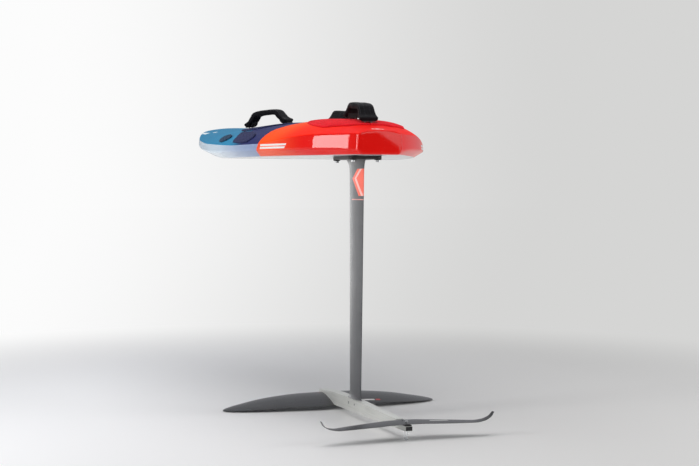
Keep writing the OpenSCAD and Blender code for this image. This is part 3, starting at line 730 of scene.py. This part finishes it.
def strap_stitching(side_name, place):
    """Twin rows of stitches near each edge, on the outer face."""
    side = outward(COVER_PATH)
    verts, faces = [], []
    steps = np.linalg.norm(np.diff(COVER_PATH, axis=0), axis=1)
    lengths = np.concatenate([[0], np.cumsum(steps)])
    for v0 in STITCH_ROWS:
        for k in range(int((lengths[-1] - 2 * STITCH_MARGIN) / STITCH_PITCH)):
            start = STITCH_MARGIN + k * STITCH_PITCH
            base = len(verts)
            for at in (start, start + STITCH_L):
                q = [np.interp(at, lengths, COVER_PATH[:, c]) for c in (0, 1)]
                n = [np.interp(at, lengths, side[:, c]) for c in (0, 1)]
                i = int(np.interp(at, lengths, np.arange(len(COVER_PATH))))
                h = COVER_OUT * taper(i) * (1 - (abs(v0) / 31) ** (2 / 0.32)) ** 0.35 + 0.1
                for dv, dh in ((-0.45, -0.25), (0.45, -0.25), (0, 0.2)):
                    verts.append((q[0] + n[0] * (h + dh), v0 + dv, q[1] + n[1] * (h + dh)))
            faces += [(base, base + 1, base + 2), (base + 3, base + 5, base + 4),
                      (base, base + 3, base + 4, base + 1),
                      (base + 1, base + 4, base + 5, base + 2),
                      (base + 2, base + 5, base + 3, base)]
    stitches = piece(side_name + "_strap_stitching", [place @ Vector(p) for p in verts], faces,
                     "board", smooth=False)
    assign(stitches, THREAD)


def strap(side_name, x, y, turn):
    place = strap_matrix(x, y, turn)
    strap_padding(side_name, place)
    strap_band(side_name, place)
    strap_stitching(side_name, place)
    return place


def neoprene():
    m = Mat("strap_neoprene")
    knit = m.voronoi(1500)
    crease = m.noise(45, 5, 0.65)
    # the neoprene is darker in the hollows of its creases: painted shade, from the same noise that
    # sinks them in the bump
    m.set(color=m.mix(m.ramp(crease, 0.3, 0.75), rgb(8, 8, 11), rgb(20, 19, 25)),
          rough=m.math("ADD", 0.7, m.math("MULTIPLY", knit, 0.2)), sheen=0.08,
          sheen_rough=0.4, spec=0.15)
    m.bump(m.math("ADD", m.math("MULTIPLY", knit, 0.35), crease), 0.0009)
    return m


def woven():
    m = Mat("woven_webbing")
    weave = m.math("MULTIPLY", m.wave(420, "X"), m.wave(420, "Y"))
    m.set(color=m.mix(weave, rgb(14, 14, 16), rgb(42, 42, 46)), rough=0.72, sheen=0.2)
    m.bump(weave, 0.0005)
    return m


NEOPRENE = neoprene()
WEBBING = woven()
THREAD = speckled("strap_thread", rgb(52, 52, 58), rgb(84, 84, 90), 2500, 0.6, 0.1)


def strap_tag(place):
    """A plain pale tag sewn on top of a strap."""
    side = outward(COVER_PATH)
    across = np.linspace(-8, 8, 7)
    n = 2 * len(across)                 # points a row: low and high at each place across
    verts = []
    for i, q in enumerate(COVER_PATH):
        if abs(q[0]) <= 17:
            for v in across:
                for h in (10.3, 11.4):
                    p = q + side[i] * h
                    verts.append((p[0], v, p[1]))
    rows = len(verts) // n
    faces = []
    for i in range(rows - 1):
        for j in range(0, n - 2, 2):
            a, b = i * n + j, (i + 1) * n + j
            faces += [(a + 1, b + 1, b + 3, a + 3), (a, a + 2, b + 2, b)]
        for j in (0, n - 2):
            a, b = i * n + j, (i + 1) * n + j
            faces.append((a, b, b + 1, a + 1))
    for i in (0, rows - 1):
        for j in range(0, n - 2, 2):
            a = i * n + j
            faces.append((a, a + 1, a + 3, a + 2))
    tag = piece("rear_strap_tag", [place @ Vector(p) for p in verts], faces, "board")
    sharp(tag, 40)
    assign(tag, speckled("tag_fabric", rgb(120, 118, 120), rgb(176, 174, 174), 1200, 0.7, 0.1))


rear_place = strap("rear", -30, 0, 0)
strap("port", 560, 150, 45)
strap("starboard", 560, -150, -45)
strap_tag(rear_place)


# ---- Foil ----------------------------------------------------------------------------
def thick(x):
    """Half thickness of the usual four-digit section, per unit of thickness, closed aft."""
    return 5 * (0.2969 * math.sqrt(x) - 0.126 * x - 0.3516 * x * x
                + 0.2843 * x ** 3 - 0.1036 * x ** 4)


CHORD_X = [(1 + math.cos(math.pi * k / 22)) / 2 for k in range(22)]


def foil_outline(t, m, edge):
    """Section of unit chord: t thick, with camber m and a trailing edge 2 * edge thick."""
    top = [(x, 4 * m * x * (1 - x) + t * thick(x) + edge * x) for x in CHORD_X]
    low = [(x, 4 * m * x * (1 - x) - t * thick(x) - edge * x) for x in CHORD_X[::-1]]
    return top + [(0, 0)] + low


FRONT_HALF, FRONT_MID_X, FRONT_AHEAD, FRONT_BEHIND = 405, 283, 77, 95
FRONT_LE_Z = [[0, 36], [0.25, 35], [0.45, 31], [0.62, 25], [0.8, 15], [0.93, 8], [1, 4]]
FRONT_TE_Z = [[0, 15], [0.35, 14.5], [0.62, 11], [0.85, 6.5], [1, 3]]
rings = []
for a in np.linspace(-1, 1, 81):
    f = math.copysign(math.sin(abs(a) * math.pi / 2), a)
    g = min(0.9985, abs(f))
    le = FRONT_MID_X + FRONT_AHEAD * math.sqrt(1 - g * g)
    te = FRONT_MID_X - FRONT_BEHIND * math.sqrt(1 - g * g)
    c = le - te
    zl, zt = float(curve(g, FRONT_LE_Z)), float(curve(g, FRONT_TE_Z))
    ring = []
    for q in foil_outline(0.125, 0.02, 0.6 / max(c, 10)):
        ring.append((le - q[0] * c, f * FRONT_HALF,
                     max(2.4, zl + (zt - zl) * q[0] + q[1] * c)))
    rings.append(put(ring))
verts, faces = tube(rings)
front_wing = piece("front_wing_blade", verts, faces, "foil",
                   replaces=("front_wing",))
sharp(front_wing, 60)

TAIL_HALF, TAIL_LE_X, TAIL_LE_SWEEP, TAIL_TE_X, TAIL_TE_SWEEP = 292, -398, 66, -470, 10
TAIL_Z = [[0, 54.5], [0.12, 54], [0.3, 51.5], [0.55, 48.5], [0.76, 47], [0.86, 51.5],
          [0.94, 62], [1, 78]]
TAIL_OUT = [[0, 0], [0.8, 0.8], [0.9, 0.89], [0.95, 0.93], [1, 0.96]]
rings = []
for a in np.linspace(-1, 1, 101):
    f = math.copysign(math.sin(abs(a) * math.pi / 2) ** 0.9, a)
    g = abs(f)
    le, te = TAIL_LE_X - TAIL_LE_SWEEP * g ** 2.2, TAIL_TE_X - TAIL_TE_SWEEP * g ** 1.5
    c = le - te
    tilt = 0.0
    if g >= 0.6:
        top, low_g = min(1, g + 0.02), g - 0.02
        tilt = math.atan2(float(curve(top, TAIL_Z) - curve(low_g, TAIL_Z)),
                          float(curve(top, TAIL_OUT) - curve(low_g, TAIL_OUT)) * TAIL_HALF)
        tilt *= math.copysign(1, f)
    y0 = math.copysign(float(curve(g, TAIL_OUT)) * TAIL_HALF / 0.96, f)
    ring = []
    for q in foil_outline(0.10, 0, 0.5 / c):
        ring.append((le - q[0] * c, y0 - q[1] * c * math.sin(tilt),
                     float(curve(g, TAIL_Z)) + q[1] * c * math.cos(tilt)
                     - 2 * q[0] * (1 - g)))
    rings.append(put(ring))
verts, faces = tube(rings)
tail_wing = piece("tail_wing_blade", verts, faces, "foil",
                  replaces=("tail_wing",))
sharp(tail_wing, 60)

FOOT_Z, PLATE_Z, MAST_LE_X, FOOT_CHORD, CHORD_GAIN = 64.2, 893.7, 68, 105, 31
MAST_FLARE = [[FOOT_Z, 9], [67, 5.5], [72, 2.5], [80, 0.7], [95, 0], [320, 0], [840, 0],
              [862, 1.2], [876, 4], [886, 9], [PLATE_Z, 15]]
rings = []
heights = sorted(set([q[0] for q in MAST_FLARE] + list(np.linspace(FOOT_Z, 95, 12))
                     + list(np.linspace(95, 840, 24)) + list(np.linspace(840, PLATE_Z, 16))))
for z in heights:
    o = float(np.interp(z, [q[0] for q in MAST_FLARE], [q[1] for q in MAST_FLARE]))
    c = FOOT_CHORD + CHORD_GAIN * ((z - FOOT_Z) / (PLATE_Z - FOOT_Z)) ** 0.9 + 2 * o
    le = MAST_LE_X + o
    rings.append(put([(le - q[0] * c, q[1] * c, z)
                      for q in foil_outline(0.125 + 1.2 * o / c, 0, 0.9 / c)]))
verts, faces = tube(rings)
mast = piece("mast_blade", verts, faces, "foil", replaces=("mast",))
sharp(mast, 60)


def carbon(name, dark, light, rough, streak, fibre):
    """Unidirectional cloth under a satin resin coat: streaks along the blade."""
    m = Mat(name)
    along = m.noise(1.0, 4, 0.65, m.scaled(streak))
    tow = m.noise(1.0, 2, 0.6, m.scaled(fibre))
    cloud = m.noise(5, 3)
    shade = m.math("ADD", m.math("MULTIPLY", along, 0.55), m.math("MULTIPLY", cloud, 0.45))
    m.set(color=m.mix(m.ramp(shade, 0.34, 0.66), dark, light),
          rough=m.math("ADD", rough, m.math("MULTIPLY", m.math("SUBTRACT", tow, 0.5), 0.14)),
          coat=0.35, coat_rough=0.22, spec=0.5)
    m.bump(tow, 0.00012)
    return m


def mast_look():
    m = carbon("mast_satin", rgb(52, 53, 55), rgb(68, 69, 72), 0.46, (260, 260, 4),
               (900, 900, 12))
    x, _, z = m.xyz()
    x = m.math("SUBTRACT", x, MAST_X)
    # a plain faded flame-coloured panel under the board, thin rules below it
    middle = m.math("ABSOLUTE", m.math("SUBTRACT", z, 0.829))
    slant = m.math("ADD", x, m.math("MULTIPLY", middle,
                                    m.mix_value(m.ramp(z, 0.828, 0.830), 0.85, 1.35)))
    patch = m.math("MULTIPLY", m.between(z, 0.768, 0.862, 0.001),
                   m.ramp(slant, 0.0225, 0.0215))
    inner = m.math("MULTIPLY", m.between(slant, -0.012, 0.004, 0.001), 0.75)
    color = m.mix(patch, m.base(), m.mix(inner, rgb(226, 84, 58), rgb(222, 188, 184)))
    rule = m.math("MULTIPLY", m.between(z, 0.7545, 0.7580, 0.0005), m.ramp(x, 0.03, 0.028))
    color = m.mix(rule, color, rgb(206, 132, 122))
    diagonal = m.math("SUBTRACT", m.math("SUBTRACT", z, m.math("MULTIPLY", x, 0.5)), 0.722)
    line = m.ramp(m.math("ABSOLUTE", diagonal), 0.0012, 0.0006)
    color = m.mix(m.math("MULTIPLY", line, 0.6), color, rgb(70, 70, 72))
    color = m.mix(m.ramp(z, 0.872, 0.886), color, rgb(62, 60, 62))
    m.set(color=color, coat=0.1, coat_rough=0.4, spec=0.4)
    return m


def front_wing_look():
    m = carbon("front_wing_carbon", rgb(26, 26, 28), rgb(44, 44, 46), 0.30, (60, 3, 60),
               (500, 9, 500))
    x, y, _ = m.xyz()
    color = m.base()
    x = m.math("SUBTRACT", x, MAST_X)
    red, pale = rgb(190, 40, 36), rgb(214, 212, 210)
    for y0, y1, tone in ((-0.172, -0.154, red), (-0.150, -0.098, pale), (-0.094, -0.076, red)):
        band = m.math("MULTIPLY", m.between(y, y0, y1, 0.0008),
                      m.between(x, 0.2165, 0.2275, 0.0005))
        color = m.mix(band, color, tone)
    m.set(color=color)
    return m


def tail_wing_look():
    m = carbon("tail_wing_carbon", rgb(30, 30, 32), rgb(52, 52, 54), 0.30, (80, 3, 80),
               (600, 9, 600))
    x, y, _ = m.xyz()
    x = m.math("SUBTRACT", x, MAST_X)
    mark = m.math("MULTIPLY", m.between(y, -0.150, -0.086, 0.001),
                  m.between(x, -0.440, -0.430, 0.0005))
    m.set(color=m.mix(mark, m.base(), rgb(196, 196, 194)))
    return m


assign(mast, mast_look())
assign(front_wing, front_wing_look())
assign(tail_wing, tail_wing_look())


# ---- CAD nodes that stay -------------------------------------------------------------
ALLOY = speckled("anodised_alloy", rgb(212, 213, 208), rgb(230, 231, 226), 1.0, 0.38, 0.05,
                 metal=0.25, brushed=(6, 700, 700), spec=0.5)
STEEL = speckled("stainless_steel", rgb(166, 168, 170), rgb(206, 208, 210), 260, 0.28, 0.02,
                 metal=1.0)
BRASS = speckled("brass", rgb(168, 132, 62), rgb(204, 168, 96), 220, 0.34, 0.03, metal=1.0)
BLACK_ALLOY = speckled("black_anodised", rgb(30, 28, 29), rgb(46, 42, 43), 420, 0.42, 0.04,
                       metal=0.4)
BLACK_PLASTIC = speckled("moulded_black", rgb(22, 22, 24), rgb(36, 36, 38), 700, 0.46, 0.12)
GREY_PLASTIC = speckled("moulded_grey", rgb(84, 86, 88), rgb(112, 114, 116), 700, 0.5, 0.12)
FOAM = speckled("core_foam", rgb(222, 216, 200), rgb(244, 240, 228), 420, 0.85, 0.5)
DENSE = speckled("dense_foam", rgb(196, 172, 128), rgb(222, 200, 158), 520, 0.8, 0.4)

KEPT = {
    "foam_core": (FOAM, 0), "foil_box": (DENSE, 0), "foil_tracks": (BLACK_PLASTIC, 0.5),
    "rig_track": (BLACK_PLASTIC, 0.7), "vent_plug": (BLACK_PLASTIC, 0.5),
    "strap_inserts": (GREY_PLASTIC, 0.4), "strap_washers": (BLACK_PLASTIC, 0.5),
    "strap_screws": (STEEL, 0.3), "track_nuts": (BRASS, 0.4), "plate_bolts": (STEEL, 0.4),
    "plate_washers": (BLACK_ALLOY, 0.4), "mast_plate": (BLACK_ALLOY, 1.2),
    "mast_head_screws": (STEEL, 0.3), "mast_foot_bolts": (STEEL, 0.3),
    "mast_foot_nuts": (STEEL, 0.3), "fuselage": (ALLOY, 1.4),
    "front_wing_screws": (STEEL, 0.4), "tail_shim": (BLACK_PLASTIC, 0.4),
    "tail_wing_screws": (STEEL, 0.3), "fuselage_end_cap": (BLACK_PLASTIC, 0.8),
}
for name, (mat, edge) in KEPT.items():
    o = NODES[name]
    assign(o, mat)
    modifier(o, "WELD", merge_threshold=0.00001)
    if edge:
        modifier(o, "BEVEL", width=edge * MM, segments=3, limit_method="ANGLE",
                 angle_limit=math.radians(38), harden_normals=False)

# ---- Stage ---------------------------------------------------------------------------
YAW, PITCH = math.radians(19.875), math.radians(1.754)
LOOK = Vector((math.cos(PITCH) * math.cos(YAW), -math.cos(PITCH) * math.sin(YAW),
               -math.sin(PITCH)))
RIGHT = Vector((-math.sin(YAW), -math.cos(YAW), 0))
EYE = Vector((MAST_X - 4.3994, 1.6183, 0.784))
camera_data = bpy.data.cameras.new("camera")
camera_data.lens, camera_data.sensor_width = 69.95, 36
camera = bpy.data.objects.new("camera", camera_data)
camera.location = EYE
camera.rotation_mode = "QUATERNION"
camera.rotation_quaternion = LOOK.to_track_quat("-Z", "Y")
bpy.context.scene.collection.objects.link(camera)
bpy.context.scene.camera = camera

bm = bmesh.new()
bmesh.ops.create_circle(bm, cap_ends=True, segments=96, radius=60)
floor = loose_mesh("floor", bm)
# lit as a floor near the board, with painted shade darkening it towards the camera's right, and
# farther out glowing as painted light in the backdrop's greys, paler to the left and darker to the
# right
LIGHT_SIDE, DARK_SIDE = rgb(252, 252, 252), rgb(213, 213, 212)
SHADE_FROM, SHADE_TO = -0.22, 0.16
m = Mat("studio_floor")
x, y, _ = m.xyz()
across = m.math("ADD", m.math("MULTIPLY", x, RIGHT.x), m.math("MULTIPLY", y, RIGHT.y))
# painted shade: the floor's colour darkens towards the camera's right
near = m.mix(m.ramp(across, -1.2, 1.2), rgb(246, 246, 247), rgb(214, 213, 211))
m.set(color=near, rough=0.42, spec=0.3)
away = m.math("SQRT", m.math("ADD", m.math("MULTIPLY", x, x), m.math("MULTIPLY", y, y)))
glow = m.node("ShaderNodeEmission")
ratio = m.math("DIVIDE", m.math("ADD", across, 0.2), m.math("ADD", away, 5.0))
m.link(m.mix(m.ramp(ratio, SHADE_FROM, SHADE_TO), LIGHT_SIDE, DARK_SIDE), glow.inputs[0])
blend = m.node("ShaderNodeMixShader")
m.link(m.ramp(away, 1.0, 2.9), blend.inputs[0])
m.link(m.bsdf.outputs[0], blend.inputs[1])
m.link(glow.outputs[0], blend.inputs[2])
m.link(blend.outputs[0], m.out.inputs[0])
assign(floor, m)

# clear display block under the fuselage's rear end; it isn't part of the object
block = box_cutter(put((-455, -5, 0.3)), put((-443, 5, 30.3)))
block.name = "display_block"
modifier(block, "BEVEL", width=0.0012, segments=2)
m = Mat("clear_block")
m.set(color=(0.95, 0.97, 0.98), rough=0.04, ior=1.49, through=1.0)
m.bump(m.noise(20, 2), 0.0001)
assign(block, m)

world = bpy.data.worlds.new("studio")
bpy.context.scene.world = world
world.use_nodes = True
nt = world.node_tree
background = nt.nodes["Background"]
coord = nt.nodes.new("ShaderNodeTexCoord")


def facing(direction, *limits):
    """How far a ray runs along direction, eased between two limits and onto the next two."""
    dot = nt.nodes.new("ShaderNodeVectorMath")
    dot.operation = "DOT_PRODUCT"
    nt.links.new(coord.outputs["Generated"], dot.inputs[0])
    dot.inputs[1].default_value = direction
    shade = nt.nodes.new("ShaderNodeMapRange")
    shade.interpolation_type = "SMOOTHSTEP"
    nt.links.new(dot.outputs["Value"], shade.inputs[0])
    for i, limit in enumerate(limits, 1):
        shade.inputs[i].default_value = limit
    return shade.outputs[0]


# the camera sees a backdrop with painted shade, darkening to its right; the rest is lit by a
# dimmer room
tint = nt.nodes.new("ShaderNodeMix")
tint.data_type = "RGBA"
nt.links.new(facing(RIGHT, SHADE_FROM, SHADE_TO), tint.inputs[0])
tint.inputs[6].default_value = (*LIGHT_SIDE, 1)
tint.inputs[7].default_value = (*DARK_SIDE, 1)
nt.links.new(tint.outputs[2], background.inputs[0])
background.inputs[1].default_value = 1.0
room = nt.nodes.new("ShaderNodeBackground")
room.inputs[0].default_value = (*rgb(236, 238, 244), 1)
nt.links.new(facing((LOOK.x, LOOK.y, 0.35), -0.2, 0.97, 0.05, 0.5), room.inputs[1])
path = nt.nodes.new("ShaderNodeLightPath")
choose = nt.nodes.new("ShaderNodeMixShader")
nt.links.new(path.outputs["Is Camera Ray"], choose.inputs[0])
nt.links.new(room.outputs[0], choose.inputs[1])
nt.links.new(background.outputs[0], choose.inputs[2])
nt.links.new(choose.outputs[0], nt.nodes["World Output"].inputs[0])


def softbox(name, where, target, width, height, power):
    """Rectangular light at where, aimed at target; sizes in metres and power in watts."""
    data = bpy.data.lights.new(name, "AREA")
    data.shape, data.size, data.size_y, data.energy = "RECTANGLE", width, height, power
    o = bpy.data.objects.new(name, data)
    o.location = where
    o.rotation_euler = (Vector(target) - Vector(where)).to_track_quat("-Z", "Y").to_euler()
    bpy.context.scene.collection.objects.link(o)
    return o


wall_spot = Vector(put((-60, 190, 950)))
strip = softbox("bow_strip", (MAST_X + 3.3, 0.75, 0.5), (MAST_X, 0, 0.5), 0.8, 1.3, 21)
strip.visible_camera = False
# it would burn out the floor and the nose's rail, so it lights the mast alone
only_mast = bpy.data.collections.new("lit_by_bow_strip")
only_mast.objects.link(mast)
strip.light_linking.receiver_collection = only_mast
softbox("starboard_fill", (MAST_X - 1.9, -3.0, 1.3), (MAST_X, 0, 0.95), 1.2, 1.2, 46)
softbox("port_softbox", wall_spot + Vector((-0.26, 2.85, 0.3)), wall_spot, 0.85, 0.95, 34)
softbox("overhead", (MAST_X + 0.2, 0.6, 4.2), (MAST_X + 0.2, 0.2, 0), 5.0, 4.0, 135)
stern = softbox("stern_softbox", (MAST_X - 3.22, -1.486, 1.499), (MAST_X, -1.486, 1.499), 1.0,
                1.0, 8)
# its own x, y and z axes are the columns: it looks forward, rolled by about 32 degrees
stern.rotation_euler = Matrix(((0, 0, -1), (-0.851, -0.524, 0), (-0.524, 0.851, 0))).to_euler()

bpy.context.scene.view_settings.view_transform = "Standard"
bpy.context.scene.view_settings.look = "None"

bpy.context.view_layer.update()
